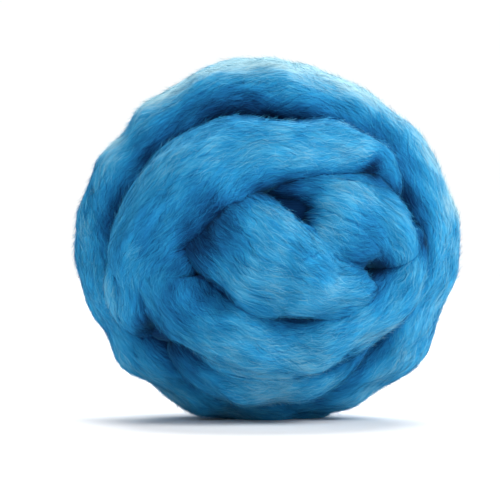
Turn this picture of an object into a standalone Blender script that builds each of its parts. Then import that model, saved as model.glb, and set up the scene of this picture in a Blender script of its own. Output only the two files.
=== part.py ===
"""A ball of wool roving: one thick, soft, unspun strand wound loosely onto itself.

Blender 4.5 script, in metres, +Z up. The ball stands on a small flat spot at the origin and faces -Y.
Its visible turns are strands of changing width that lie on the ball, dive under their neighbours and
are joined with the wound middle into one solid.
"""

import math
from collections import namedtuple

import bmesh
import bpy
from mathutils import Vector

MM = 0.001

# Driving dimensions, in metres.
BALL_WIDTH = 0.174
BALL_DEPTH = 0.154
BALL_HEIGHT = 0.164
FLAT_SPOT_DEPTH = 0.0030  # pressed in where the ball rests
MIDDLE_SHARE = 0.80  # the wound middle's size, as a share of the ball's
ROOT_SHARE = 0.60  # how near the centre each turn's underside reaches
PILE_HEIGHT = 0.0015  # the loose fibres stand this far over the combed surface
CROWN_RISE = 0.0125  # height of a turn's rounded crown, on a turn of the usual width
USUAL_WIDTH = 0.036
CROWN_POWER = 2.3  # 2 is an ellipse, more is a fuller, flatter crown

# Fineness of the solid.
STEP_LENGTH = 0.0085  # along a turn
CROWN_STEPS = 10  # across a turn's crown
MIDDLE_SUBDIVISIONS = 3

HALF_SIZE = Vector((BALL_WIDTH / 2, BALL_DEPTH / 2, BALL_HEIGHT / 2))
MEAN_RADIUS = sum(HALF_SIZE) / 3
CENTRE = Vector((0, 0, HALF_SIZE.z - FLAT_SPOT_DEPTH))

# A place on a turn's middle line. `turn` is the angle round the ball's front, in degrees: 0 is to the
# right, 90 is up. `out` is the angle from the middle of the front: 90 is the rim, 180 the back.
# `width` and `sink`, the combed crown's depth under the ball's outer surface, are in millimetres.
Place = namedtuple("Place", "turn out width sink")

# The turns that show, each from where it comes up to where it dives under another.
TURNS = {
    "rim": (
        Place(262, 94, 44, 6),
        Place(300, 84, 46, 1),
        Place(321, 80, 46, -1),
        Place(335, 76, 45, 2),
        Place(350, 72, 46, 1),
        Place(8, 70, 46, 0),
        Place(25, 71, 45, 2),
        Place(42, 72, 46, 3),
        Place(60, 68, 48, 3),
        Place(80, 68, 50, 1),
        Place(98, 70, 48, 0),
        Place(115, 72, 46, 2),
        Place(135, 72, 44, 3),
        Place(152, 74, 46, 3),
        Place(170, 77, 44, 2.5),
        Place(190, 76, 44, 1.5),
        Place(215, 79, 44, 2),
        Place(245, 86, 44, 1),
        Place(275, 93, 44, 0),
        Place(300, 102, 42, 4),
        Place(318, 112, 34, 14),
    ),
    "broad_arc": (
        Place(226, 74, 18, 13),
        Place(214, 64, 20, 6),
        Place(203, 53, 22, 3),
        Place(190, 43, 35, 0),
        Place(170, 36, 47, 0),
        Place(146, 34, 48, 0),
        Place(120, 31, 42, 0),
        Place(96, 30, 38, 0),
        Place(72, 33, 33, 0),
        Place(54, 39, 27, 0),
        Place(43, 44, 19, 2),
        Place(34, 48, 14, 5),
        Place(22, 52, 13, 9),
        Place(12, 53, 10, 16),
    ),
    "lower_band": (
        Place(172, 27, 28, 16),
        Place(188, 32, 38, 11),
        Place(205, 37, 46, 5),
        Place(225, 39, 46, 2),
        Place(248, 38, 40, 1),
        Place(271, 40, 37, 0),
        Place(291, 42, 35, 0),
        Place(311, 44, 32, 0),
        Place(326, 46, 29, 0),
        Place(340, 49, 25, 1),
        Place(352, 51, 19, 3),
        Place(3, 52, 13, 7),
        Place(11, 50, 10, 14),
    ),
    "middle": (
        Place(148, 27, 48, 15),
        Place(153, 20, 58, 10),
        Place(172, 13, 63, 7),
        Place(205, 8, 60, 4),
        Place(268, 8, 51, 2),
        Place(309, 13, 45, 0),
        Place(322, 21, 38, 0),
        Place(329, 30, 27, 1),
        Place(336, 37, 16, 6),
        Place(340, 42, 10, 15),
    ),
    "crest": (
        Place(100, 23, 16, 13),
        Place(97, 16, 20, 6),
        Place(90, 9, 25, 2),
        Place(32, 4, 27, 0),
        Place(333, 10, 26, 1),
        Place(334, 19, 21, 4),
        Place(337, 27, 14, 11),
    ),
    "leaf": (
        Place(104, 19, 8, 18),
        Place(78, 17, 14, 14),
        Place(50, 21, 22, 9),
        Place(35, 25, 32, 3),
        Place(25, 30, 39, 1),
        Place(15, 35, 40, 1),
        Place(6, 40, 36, 1),
        Place(357, 45, 30, 3),
        Place(349, 51, 24, 8),
        Place(341, 57, 18, 16),
    ),
    "inner_leaf": (
        Place(38, 15, 14, 16),
        Place(22, 17, 24, 10),
        Place(8, 21, 32, 6),
        Place(359, 28, 32, 6),
        Place(354, 35, 23, 9),
        Place(352, 40, 13, 16),
    ),
    "under_strip": (
        Place(224, 66, 14, 18),
        Place(232, 64, 24, 11),
        Place(241, 61, 34, 4),
        Place(252, 59, 38, 2),
        Place(266, 59, 38, 1),
        Place(280, 60, 36, 2),
        Place(293, 61, 30, 4),
        Place(303, 59, 20, 6),
        Place(312, 61, 18, 10),
        Place(322, 66, 16, 14),
        Place(330, 70, 14, 18),
    ),
    "hidden_ring": (
        Place(320, 62, 26, 20),
        Place(345, 60, 34, 13),
        Place(15, 60, 36, 12),
        Place(45, 60, 38, 12),
        Place(75, 56, 38, 12),
        Place(105, 55, 38, 12),
        Place(135, 57, 36, 12),
        Place(160, 60, 34, 12),
        Place(185, 64, 32, 12),
        Place(210, 70, 28, 13),
        Place(228, 76, 24, 20),
    ),
    "left_edge": (
        Place(176, 50, 8, 14),
        Place(186, 54, 12, 6),
        Place(196, 59, 15, 3),
        Place(206, 64, 16, 4),
        Place(214, 70, 17, 8),
        Place(222, 77, 17, 16),
    ),
    "back_ring": (
        Place(285, 114, 38, 14),
        Place(305, 112, 42, 5),
        Place(330, 107, 44, 1),
        Place(345, 104, 45, 3),
        Place(0, 103, 46, 3),
        Place(12, 102, 45, 5),
        Place(30, 100, 44, 5),
        Place(60, 98, 42, 7),
        Place(76, 98, 43, 7),
        Place(90, 98, 44, 3),
        Place(104, 98, 46, 1),
        Place(125, 99, 48, 6),
        Place(150, 101, 48, 5),
        Place(180, 104, 46, 2),
        Place(205, 108, 46, 4),
        Place(240, 114, 46, 2),
        Place(268, 121, 46, 1),
        Place(292, 128, 44, 3),
        Place(312, 138, 38, 13),
    ),
    "over_top": (
        Place(38, 74, 24, 16),
        Place(50, 83, 34, 8),
        Place(68, 95, 40, 5),
        Place(90, 109, 42, 1),
        Place(112, 121, 42, 0),
        Place(134, 131, 40, 0),
        Place(158, 139, 36, 3),
        Place(176, 145, 28, 14),
    ),
    "over_left": (
        Place(238, 88, 26, 16),
        Place(226, 96, 36, 6),
        Place(208, 104, 40, 4),
        Place(188, 112, 42, 0),
        Place(168, 118, 42, 0),
        Place(150, 122, 36, 3),
        Place(136, 124, 26, 14),
    ),
    "over_right": (
        Place(42, 90, 24, 16),
        Place(28, 96, 34, 7),
        Place(12, 103, 38, 2),
        Place(355, 110, 38, 1),
        Place(338, 117, 36, 3),
        Place(324, 124, 26, 15),
    ),
    "back_upper": (
        Place(330, 116, 34, 14),
        Place(348, 122, 42, 4),
        Place(12, 125, 46, 1),
        Place(42, 126, 50, 0),
        Place(75, 125, 52, 0),
        Place(108, 125, 50, 0),
        Place(140, 127, 48, 0),
        Place(168, 130, 44, 1),
        Place(192, 134, 40, 2),
        Place(212, 140, 34, 8),
        Place(225, 146, 28, 16),
    ),
    "back_curl": (
        Place(0, 140, 26, 14),
        Place(22, 146, 34, 5),
        Place(52, 150, 38, 2),
        Place(85, 151, 40, 2),
        Place(118, 150, 38, 4),
        Place(145, 148, 32, 13),
    ),
    "back_lower": (
        Place(170, 150, 32, 14),
        Place(196, 147, 40, 4),
        Place(222, 147, 44, 0),
        Place(252, 149, 46, 0),
        Place(282, 149, 44, 0),
        Place(310, 144, 42, 1),
        Place(334, 137, 38, 2),
        Place(352, 131, 32, 10),
    ),
    "back_across": (
        Place(112, 146, 32, 14),
        Place(122, 156, 40, 4),
        Place(150, 168, 46, 1),
        Place(270, 176, 48, 0),
        Place(325, 165, 46, 1),
        Place(338, 153, 40, 4),
        Place(344, 143, 30, 13),
    ),
}


def clear_scene() -> None:
    """Remove every object that is in the scene."""
    for item in list(bpy.data.objects):
        bpy.data.objects.remove(item, do_unlink=True)


def new_collection(name: str) -> bpy.types.Collection:
    """Add an empty collection to the scene."""
    collection = bpy.data.collections.new(name)
    bpy.context.scene.collection.children.link(collection)
    return collection


def wool_material() -> bpy.types.Material:
    """Blue wool: matt, with the soft sheen of long fibres."""
    material = bpy.data.materials.new("blue_wool")
    material.use_nodes = True
    shader = material.node_tree.nodes["Principled BSDF"]
    shader.inputs["Base Color"].default_value = (0.016, 0.205, 0.46, 1)
    shader.inputs["Roughness"].default_value = 0.85
    shader.inputs["Metallic"].default_value = 0
    shader.inputs["Sheen Weight"].default_value = 0.4
    return material


def direction_of(place: Place) -> Vector:
    """The unit vector from the ball's centre to a place, before the ball's own sizes stretch it."""
    turn = math.radians(place.turn)
    out = math.radians(place.out)
    return Vector((math.sin(out) * math.cos(turn), -math.cos(out), math.sin(out) * math.sin(turn)))


def point_at(direction: Vector, height: float) -> Vector:
    """The point over or under the ball's outer surface in a direction."""
    scale = 1 + height / MEAN_RADIUS
    return CENTRE + Vector([part * size * scale for part, size in zip(direction, HALF_SIZE)])


def blend_between(before, first, second, after, share):
    """A Catmull-Rom blend between the two middle values, which may be numbers or vectors."""
    return (
        first
        + (second - before) * (share / 2)
        + (before * 2 - first * 5 + second * 4 - after) * (share**2 / 2)
        + (first * 3 - before - second * 3 + after) * (share**3 / 2)
    )


def stations_along(places: tuple) -> list:
    """Evenly spaced (direction, width, sink) along a turn, on a smooth curve through its places."""
    rows = [(direction_of(place), place.width * MM, place.sink * MM) for place in places]
    rows = [rows[0], *rows, rows[-1]]
    stations = []
    for before, first, second, after in zip(rows, rows[1:], rows[2:], rows[3:]):
        length = first[0].angle(second[0]) * MEAN_RADIUS
        count = max(1, round(length / STEP_LENGTH))
        for step in range(count):
            values = [blend_between(*four, step / count) for four in zip(before, first, second, after)]
            stations.append((values[0].normalized(), values[1], values[2]))
    stations.append(rows[-1])
    return stations


def section_of(direction: Vector, along: Vector, width: float, sink: float) -> list:
    """The closed outline of a turn at one station: a rounded crown on straight sides."""
    across = along.cross(direction).normalized()
    half_angle = width / 2 / MEAN_RADIUS
    rise = CROWN_RISE * min(1, math.sqrt(width / USUAL_WIDTH))
    points = []
    for step in range(CROWN_STEPS + 1):
        angle = math.pi * step / CROWN_STEPS
        side = math.cos(angle)
        crown = (1 - min(1, abs(side)) ** CROWN_POWER) ** (1 / CROWN_POWER)
        swing = half_angle * side
        points.append(
            point_at(
                direction * math.cos(swing) + across * math.sin(swing),
                rise * (crown - 1) - sink + PILE_HEIGHT,
            )
        )
    for side in (-1, 1):
        swing = half_angle * side
        root = direction * math.cos(swing) + across * math.sin(swing)
        points.append(point_at(root, (ROOT_SHARE - 1) * MEAN_RADIUS))
    return points


def add_turn(mesh: bmesh.types.BMesh, places: tuple) -> None:
    """Loft one turn through its sections and close both of its ends."""
    stations = stations_along(places)
    rings = []
    for index, (direction, width, sink) in enumerate(stations):
        before = stations[max(0, index - 1)][0]
        after = stations[min(len(stations) - 1, index + 1)][0]
        outline = section_of(direction, (after - before).normalized(), width, sink)
        rings.append([mesh.verts.new(point) for point in outline])
    for ring, following in zip(rings, rings[1:]):
        for index in range(len(ring)):
            other = (index + 1) % len(ring)
            mesh.faces.new((ring[index], ring[other], following[other], following[index]))
    mesh.faces.new(reversed(rings[0]))
    mesh.faces.new(rings[-1])


def make_turns(collection: bpy.types.Collection) -> bpy.types.Object:
    """All the turns as one mesh of crossing lofts, which a Boolean union makes one body."""
    shape = bmesh.new()
    for places in TURNS.values():
        add_turn(shape, places)
    bmesh.ops.recalc_face_normals(shape, faces=shape.faces)
    bmesh.ops.triangulate(shape, faces=shape.faces)
    data = bpy.data.meshes.new("wool_roving_ball")
    shape.to_mesh(data)
    shape.free()
    ball = bpy.data.objects.new("wool_roving_ball", data)
    collection.objects.link(ball)
    return ball


def make_middle(collection: bpy.types.Collection) -> bpy.types.Object:
    """The wound middle that the visible turns lie on."""
    shape = bmesh.new()
    bmesh.ops.create_icosphere(shape, subdivisions=MIDDLE_SUBDIVISIONS, radius=1)
    for vertex in shape.verts:
        vertex.co = point_at(vertex.co.normalized(), (MIDDLE_SHARE - 1) * MEAN_RADIUS)
    data = bpy.data.meshes.new("wound_middle")
    shape.to_mesh(data)
    shape.free()
    middle = bpy.data.objects.new("wound_middle", data)
    collection.objects.link(middle)
    return middle


def make_resting_plane(collection: bpy.types.Collection) -> bpy.types.Object:
    """A block whose top face is the surface that the ball rests on."""
    shape = bmesh.new()
    bmesh.ops.create_cube(shape, size=1)
    height = BALL_HEIGHT / 4
    for vertex in shape.verts:
        vertex.co = Vector(
            (vertex.co.x * BALL_WIDTH, vertex.co.y * BALL_DEPTH, (vertex.co.z - 0.5) * height)
        )
    data = bpy.data.meshes.new("resting_plane")
    shape.to_mesh(data)
    shape.free()
    plane = bpy.data.objects.new("resting_plane", data)
    collection.objects.link(plane)
    return plane


def hide_helper(helper: bpy.types.Object) -> None:
    """Keep a helper out of renders, and show it as wires."""
    helper.hide_render = True
    helper.display_type = "WIRE"


def join_with(target: bpy.types.Object, other: bpy.types.Object, operation: str) -> None:
    """Add an exact Boolean of the target with a helper."""
    boolean = target.modifiers.new(f"{operation.lower()}_{other.name}", "BOOLEAN")
    boolean.operation = operation
    boolean.object = other
    boolean.solver = "EXACT"
    boolean.use_self = operation == "UNION"
    hide_helper(other)


def main() -> None:
    """Build the ball from its turns, its wound middle and the plane that it rests on."""
    clear_scene()
    parts = new_collection("wool_roving")
    helpers = new_collection("helpers")
    helpers.hide_render = True
    ball = make_turns(parts)
    join_with(ball, make_middle(helpers), "UNION")
    join_with(ball, make_resting_plane(helpers), "DIFFERENCE")
    ball.data.materials.append(wool_material())
    ball.data.shade_smooth()


main()
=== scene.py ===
"""A ball of blue wool roving: its rounded turns, the combed fibres on them and the fuzz at its edges.

Blender 4.5 script, in metres, +Z up, with the front of the ball towards -Y. Each turn of the strand is a
soft sweep over the ball. Its surface is a grid that thousands of thin fibre ribbons follow, as wool fibres
lie along a combed strand, and looser fibres stand off it as fuzz.
"""

import logging
import math
from dataclasses import dataclass, field
from enum import Enum
from typing import ClassVar, NamedTuple

import bpy
import numpy as np
from bpy.types import ID, Material, Mesh, Node, NodeSocket, NodeTree, Object
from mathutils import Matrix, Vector
from mathutils.bvhtree import BVHTree


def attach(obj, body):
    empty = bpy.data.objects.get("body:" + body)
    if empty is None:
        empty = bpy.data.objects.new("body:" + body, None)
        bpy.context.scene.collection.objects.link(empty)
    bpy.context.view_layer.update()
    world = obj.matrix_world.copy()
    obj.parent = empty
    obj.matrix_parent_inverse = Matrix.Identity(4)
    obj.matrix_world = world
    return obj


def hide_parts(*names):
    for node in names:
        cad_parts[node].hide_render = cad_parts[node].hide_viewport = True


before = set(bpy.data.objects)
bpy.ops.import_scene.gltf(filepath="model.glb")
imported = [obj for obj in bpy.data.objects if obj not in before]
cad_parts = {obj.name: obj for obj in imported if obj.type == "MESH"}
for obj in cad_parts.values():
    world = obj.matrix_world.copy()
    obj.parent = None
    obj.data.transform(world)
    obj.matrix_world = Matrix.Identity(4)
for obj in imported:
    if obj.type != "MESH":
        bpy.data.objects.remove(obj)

LOG = logging.getLogger("wool_roving")
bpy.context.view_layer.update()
NODE = "wool_roving_ball"
BODY = "root"
MM = 0.001

# The ball's driving sizes, in metres.
BALL_WIDTH = 0.174
BALL_DEPTH = 0.154
BALL_HEIGHT = 0.164
FLAT_SPOT_DEPTH = 0.0030
CROWN_RISE = 0.0160
USUAL_WIDTH = 0.036

# Plain numbers: the wound middle's share of the ball, the power that rounds a crown, the openness under
# which a place is hidden, and a map's empty margin.
MIDDLE_SHARE = 0.80
CROWN_POWER = 1.75
LEAST_OPEN = 0.02
MAP_MARGIN = 0.01

HALF_SIZE = np.array([BALL_WIDTH, BALL_DEPTH, BALL_HEIGHT]) / 2
MEAN_RADIUS = float(HALF_SIZE.mean())
CENTRE = np.array([0, 0, HALF_SIZE[2] - FLAT_SPOT_DEPTH])


class Place(NamedTuple):
    """A place on a turn's middle line: two angles in degrees, then two lengths in millimetres.

    `turn` goes round the ball's front, 0 to the right and 90 up. `out` goes from the middle of the front, 0,
    over the rim, 90, to the back, 180. `sink` is the crown's depth under the ball's outer surface.
    """

    turn: float
    out: float
    width: float
    sink: float


class SoftPair(NamedTuple):
    """Two turns that are felted together, and the depth in metres over which they blend."""

    first: str
    second: str
    reach: float


class PaintedLightPatch(NamedTuple):
    """A patch of painted shade, where the tone falls, or painted light, where it rises: two angles as on a
    Place, a spread in degrees, and a tone.
    """

    turn: float
    out: float
    spread: float
    tone: float


class Lay(Enum):
    """How a kind of fibre lies on its strand."""

    COMBED = "combed"
    LOOSE = "loose"
    FUZZ = "fuzz"


def places(*rows: tuple[float, float, float, float]) -> tuple[Place, ...]:
    """Name the numbers of each row of a turn's table."""
    return tuple(Place(*row) for row in rows)


TURNS: dict[str, tuple[Place, ...]] = {
    "rim": places(
        (262, 94, 44, 6), (300, 84, 46, 1), (321, 80, 46, -1), (335, 76, 45, 2), (350, 73, 43, 1),
        (8, 71, 43, 1.5), (25, 71, 45, 2), (42, 72, 46, 3), (60, 67, 51, 3), (80, 66, 55, 1), (98, 68, 54, 0),
        (115, 69, 54, 2), (135, 70, 50, 3), (152, 74, 46, 3), (170, 77, 44, 2.5), (190, 76, 44, 1.5),
        (215, 79, 44, 2), (245, 86, 44, 1), (275, 93, 44, 0), (300, 102, 42, 4), (318, 112, 34, 14),
    ),
    "broad_arc": places(
        (226, 76, 16, 14), (215, 66, 19, 7), (204, 53, 27, 3), (189, 46, 38, 0), (168, 39, 48, 0),
        (147, 34, 58, 0), (121, 31, 56, 0), (96, 31, 42, 0), (72, 34, 36, 0), (54, 40, 31, 0),
        (43, 46, 23, 1), (34, 50, 17, 4), (22, 52, 13, 9), (12, 53, 10, 16),
    ),
    "lower_band": places(
        (173, 28, 32, 14), (188, 34, 43, 7), (203, 39, 49, 4), (225, 39, 47, 2), (248, 38, 41, 1),
        (271, 40, 37, 0), (291, 42, 35, 0), (311, 44, 32, 0), (326, 47, 31, 0), (340, 51, 27, 0.5),
        (352, 53, 20, 2.5), (3, 54, 15, 5), (12, 54, 11, 13),
    ),
    "middle": places(
        (150, 30, 46, 16), (156, 22, 57, 11), (175, 14, 63, 6.5), (208, 9, 60, 4), (268, 10, 55, 2),
        (305, 15, 50, 0), (316, 24, 39, 0), (326, 32, 26, 1), (333, 38, 16, 5), (338, 43, 10, 15),
    ),
    "crest": places(
        (135, 27, 26, 20), (136, 20, 32, 16), (137, 13, 37, 9.5), (136, 2, 36, 2.5), (322, 10, 31, 0.5),
        (327, 18, 22, 4), (331, 25, 13, 12),
    ),
    "leaf": places(
        (104, 21, 8, 18), (80, 19, 13, 14), (53, 23, 20, 9), (37, 26, 30, 3), (25, 30, 39, 1),
        (15, 36, 42, 1), (6, 41, 38, 1), (357, 46, 33, 2), (349, 52, 26, 7), (341, 58, 19, 15),
    ),
    "inner_leaf": places(
        (40, 12, 14, 17), (30, 15, 26, 11), (18, 18, 34, 6), (6, 22, 36, 4), (357, 28, 36, 5),
        (353, 35, 28, 7), (350, 41, 17, 14),
    ),
    "under_strip": places(
        (224, 66, 14, 18), (232, 64, 24, 11), (241, 61, 34, 4), (252, 59, 38, 2), (266, 59, 38, 1),
        (280, 60, 36, 2), (293, 61, 30, 4), (303, 59, 20, 6), (312, 61, 18, 10), (322, 66, 16, 14),
        (330, 70, 14, 18),
    ),
    "hidden_ring": places(
        (320, 62, 26, 22), (345, 60, 34, 17), (15, 60, 36, 16), (45, 60, 38, 17), (75, 56, 38, 19),
        (105, 55, 38, 20), (135, 57, 36, 18), (160, 60, 34, 16), (185, 64, 32, 16), (210, 70, 28, 17),
        (228, 76, 24, 22),
    ),
    "left_edge": places(
        (176, 50, 8, 14), (186, 54, 12, 6), (196, 59, 15, 3), (206, 64, 16, 4), (214, 70, 17, 8),
        (222, 77, 17, 16),
    ),
    "back_ring": places(
        (285, 114, 38, 14), (305, 112, 42, 5), (330, 107, 44, 1), (345, 104, 45, 3), (0, 103, 46, 3),
        (12, 102, 45, 5), (30, 100, 44, 5), (60, 98, 42, 7), (76, 98, 43, 7), (90, 98, 44, 3),
        (104, 98, 46, 1), (125, 99, 48, 6), (150, 101, 48, 5), (180, 104, 46, 2), (205, 108, 46, 4),
        (240, 114, 46, 2), (268, 121, 46, 1), (292, 128, 44, 3), (312, 138, 38, 13),
    ),
    "over_top": places(
        (38, 74, 24, 16), (50, 83, 34, 8), (68, 95, 40, 5), (90, 109, 42, 1), (112, 121, 42, 0),
        (134, 131, 40, 0), (158, 139, 36, 3), (176, 145, 28, 14),
    ),
    "over_left": places(
        (238, 88, 26, 16), (226, 96, 36, 6), (208, 104, 40, 4), (188, 112, 42, 0), (168, 118, 42, 0),
        (150, 122, 36, 3), (136, 124, 26, 14),
    ),
    "over_right": places(
        (42, 90, 24, 16), (28, 96, 34, 7), (12, 103, 38, 2), (355, 110, 38, 1), (338, 117, 36, 3),
        (324, 124, 26, 15),
    ),
    "back_upper": places(
        (330, 116, 34, 14), (348, 122, 42, 4), (12, 125, 46, 1), (42, 126, 50, 0), (75, 125, 52, 0),
        (108, 125, 50, 0), (140, 127, 48, 0), (168, 130, 44, 1), (192, 134, 40, 2), (212, 140, 34, 8),
        (225, 146, 28, 16),
    ),
    "back_curl": places(
        (0, 140, 26, 14), (22, 146, 34, 5), (52, 150, 38, 2), (85, 151, 40, 2), (118, 150, 38, 4),
        (145, 148, 32, 13),
    ),
    "back_lower": places(
        (170, 150, 32, 14), (196, 147, 40, 4), (222, 147, 44, 0), (252, 149, 46, 0), (282, 149, 44, 0),
        (310, 144, 42, 1), (334, 137, 38, 2), (352, 131, 32, 10),
    ),
    "back_across": places(
        (112, 146, 32, 14), (122, 156, 40, 4), (150, 168, 46, 1), (270, 176, 48, 0), (325, 165, 46, 1),
        (338, 153, 40, 4), (344, 143, 30, 13),
    ),
}

SOFT_PAIRS = tuple(SoftPair(*row) for row in (
    ("middle", "crest", 0.018), ("middle", "inner_leaf", 0.012), ("crest", "inner_leaf", 0.030),
    ("leaf", "inner_leaf", 0.013), ("middle", "leaf", 0.004), ("broad_arc", "middle", 0.003),
    ("leaf", "lower_band", 0.003), ("broad_arc", "leaf", 0.005), ("broad_arc", "crest", 0.005),
    ("broad_arc", "lower_band", 0.004), ("broad_arc", "left_edge", 0.004),
    ("lower_band", "under_strip", 0.012), ("middle", "lower_band", 0.008), ("rim", "hidden_ring", 0.006),
    ("rim", "back_ring", 0.003), ("back_ring", "over_right", 0.004), ("back_ring", "over_left", 0.004),
    ("back_ring", "over_top", 0.004), ("back_upper", "over_right", 0.004), ("back_upper", "over_left", 0.004),
    ("back_upper", "over_top", 0.004),
))

# Patches of painted shade, with negative tones, in holes, creases and on the side away from the light, and of
# painted light, with positive tones, on lit crowns.
PAINTED_LIGHT_PATCHES = tuple(PaintedLightPatch(*row) for row in (
    (180, 40, 16, -0.13), (222, 37, 14, -0.14), (175, 66, 14, -0.07), (167, 15, 9, -0.28),
    (146, 19, 7, -0.25), (192, 20, 7, -0.16), (359, 31, 8, -0.27), (86, 5, 7, 0.13), (323, 16, 7, -0.05),
    (323, 47, 12, 0.07), (323, 67, 14, 0.08), (136, 65, 12, 0.05), (107, 53, 13, -0.27), (138, 55, 9, -0.15),
    (7, 66, 12, -0.06), (223, 55, 8, -0.40), (305, 61, 4, -0.20), (36, 43, 3, -0.55), (358, 55, 4, -0.55),
    (16, 53, 5, -0.22), (334, 32, 6, -0.08), (331, 39, 3, -0.20), (317, 34, 3, -0.14), (187, 24, 4, -0.25),
    (345, 38, 5, -0.32), (73, 47, 7, -0.20), (240, 30, 12, 0.04), (272, 33, 12, 0.05), (270, 62, 14, 0.07),
    (25, 27, 10, 0.06), (0, 84, 12, 0.15), (42, 76, 14, -0.12), (92, 68, 14, 0.05),
))


def unit(vectors: np.ndarray) -> np.ndarray:
    """Scale vectors, with x, y and z on the last axis, to length one."""
    return vectors / np.maximum(np.linalg.norm(vectors, axis=-1, keepdims=True), 1e-12)


def aim_of(turn: np.ndarray | float, out: np.ndarray | float) -> np.ndarray:
    """Turn a place's two angles, in radians, into directions from the ball's centre."""
    return np.stack([np.sin(out) * np.cos(turn), -np.cos(out), np.sin(out) * np.sin(turn)], axis=-1)


def aims_to(points: np.ndarray) -> np.ndarray:
    """Find the directions from the centre to points, before the ball's own sizes stretch them."""
    return unit((points - CENTRE) / HALF_SIZE)


def ball_point(directions: np.ndarray, heights: np.ndarray) -> np.ndarray:
    """Find the points at heights in metres over the ball's outer surface."""
    return CENTRE + directions * HALF_SIZE * (1 + heights / MEAN_RADIUS)[..., None]


def heights_of(points: np.ndarray) -> np.ndarray:
    """Work out how far points lie over the ball's outer surface, in metres."""
    return (np.linalg.norm((points - CENTRE) / HALF_SIZE, axis=-1) - 1) * MEAN_RADIUS


def ease(values: np.ndarray, low: float, high: float) -> np.ndarray:
    """Rise smoothly from 0 at `low` to 1 at `high`."""
    share = np.clip((values - low) / (high - low), 0, 1)
    return share * share * (3 - 2 * share)


def inset(spots: np.ndarray) -> np.ndarray:
    """Keep a map's places, from 0 to 1, a little inside its edges."""
    return spots * (1 - 2 * MAP_MARGIN) + MAP_MARGIN


@dataclass(frozen=True)
class SoftNoise:
    """Smooth noise in space: a sum of seeded waves, with a spread of about one."""

    length: float
    seed: int
    waves: int = 18
    length_shares: tuple[float, float] = (0.7, 1.5)

    def at(self, points: np.ndarray) -> np.ndarray:
        """Read the noise.

        Args:
            points: Points in metres, on the last axis.

        Returns:
            One value for each point, mostly between -2 and 2.
        """
        draw = np.random.default_rng(self.seed)
        aims = unit(draw.normal(size=(self.waves, 3)))
        lengths = self.length * draw.uniform(*self.length_shares, self.waves)
        shifts = draw.uniform(0, 2 * math.pi, self.waves)
        phases = points @ (aims * (2 * math.pi / lengths)[:, None]).T + shifts
        return np.sin(phases).sum(axis=-1) * math.sqrt(2 / self.waves)


@dataclass
class StrandGrid:
    """A turn's finished surface as a grid, stations along it by points round it.

    Every row starts and ends at the middle of the underside, so the crown is in the middle of the row.
    """

    points: np.ndarray
    normals: np.ndarray
    step: float
    spacing: np.ndarray
    openness: np.ndarray

    def read(self, values: np.ndarray, along: np.ndarray, around: np.ndarray) -> np.ndarray:
        """Blend grid values at places between the grid's points.

        Args:
            values: The grid's values, with one or more numbers at each point.
            along: Places along the turn, in stations.
            around: Places round the turn, in points.

        Returns:
            The blended values.
        """
        rows, columns = values.shape[:2]
        along = np.clip(along, 0, rows - 1.001)
        row, column = np.floor(along).astype(int), np.floor(around).astype(int)
        right, left = along - row, around - column
        if values.ndim > 2:
            right, left = right[..., None], left[..., None]
        column, following = column % columns, (column + 1) % columns
        near = values[row, column] * (1 - left) + values[row, following] * left
        far = values[row + 1, column] * (1 - left) + values[row + 1, following] * left
        return near * (1 - right) + far * right


@dataclass(frozen=True)
class DyeAndPaintedLight:
    """How the tone changes over the ball, from 0, navy, to 1, pale blue: the dye's own random clouds, with
    painted shade and painted light laid over them.

    Each pair of numbers is where a change starts and where it is whole: the depth under the outer surface
    in metres and the openness, for the painted shade down the creases, then how near the side is to the
    outline and how far it faces the lit side, for the painted light on the rim.
    """

    plain: float = 0.63
    clouds: tuple[tuple[SoftNoise, float], ...] = (
        (SoftNoise(0.032, 41), 0.035),
        (SoftNoise(0.011, 42), 0.03),
    )
    # Painted shade: the tone falls with the depth under the outer surface and where the wool is closed in, as
    # shade falls down the creases.
    deep: float = 0.40
    shade_depths: tuple[float, float] = (0.0030, 0.0140)
    closed: float = 0.31
    shade_openings: tuple[float, float] = (0.05, 0.75)
    # Painted light: the upper, outer rim is paler where it faces the light.
    painted_rim_light: float = 0.40
    edges: tuple[float, float] = (0.76, 0.95)
    lit_facings: tuple[float, float] = (0.05, 0.90)
    lit_side: tuple[float, float, float] = (0.22, 0.0, 0.975)
    # Patches of painted shade and painted light.
    painted_patches: tuple[PaintedLightPatch, ...] = PAINTED_LIGHT_PATCHES

    def of(self, grid: StrandGrid) -> np.ndarray:
        """Work out the tone at each point of a grid: the dye's clouds, painted shade down a crease and where
        the wool is closed in, and painted light on the rim and in patches.

        Args:
            grid: A turn's surface.

        Returns:
            A tone for each point.
        """
        clouds = sum(noise.at(grid.points) * strength for noise, strength in self.clouds)
        # Painted shade: darker deep down a crease and where little of the air is open.
        deep = self.deep * ease(-heights_of(grid.points), *self.shade_depths)
        closed = self.closed * (1 - ease(grid.openness, *self.shade_openings))
        spots = (grid.points - CENTRE) / HALF_SIZE
        # Painted light: paler near the outline where the side faces up, towards the light.
        edge = ease(np.hypot(spots[..., 0], spots[..., 2]), *self.edges)
        painted_rim_light = self.painted_rim_light * edge * ease(grid.normals @ np.array(self.lit_side), *self.lit_facings)
        # Painted shade and painted light in patches.
        aims, painted_patch_tone = unit(spots), np.zeros(deep.shape)
        for patch in self.painted_patches:
            middle = aim_of(math.radians(patch.turn), math.radians(patch.out))
            apart = np.degrees(np.arccos(np.clip(aims @ middle, -1, 1)))
            painted_patch_tone += patch.tone * np.exp(-((apart / patch.spread) ** 2))
        return self.plain + clouds - deep - closed + painted_rim_light + painted_patch_tone


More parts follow.
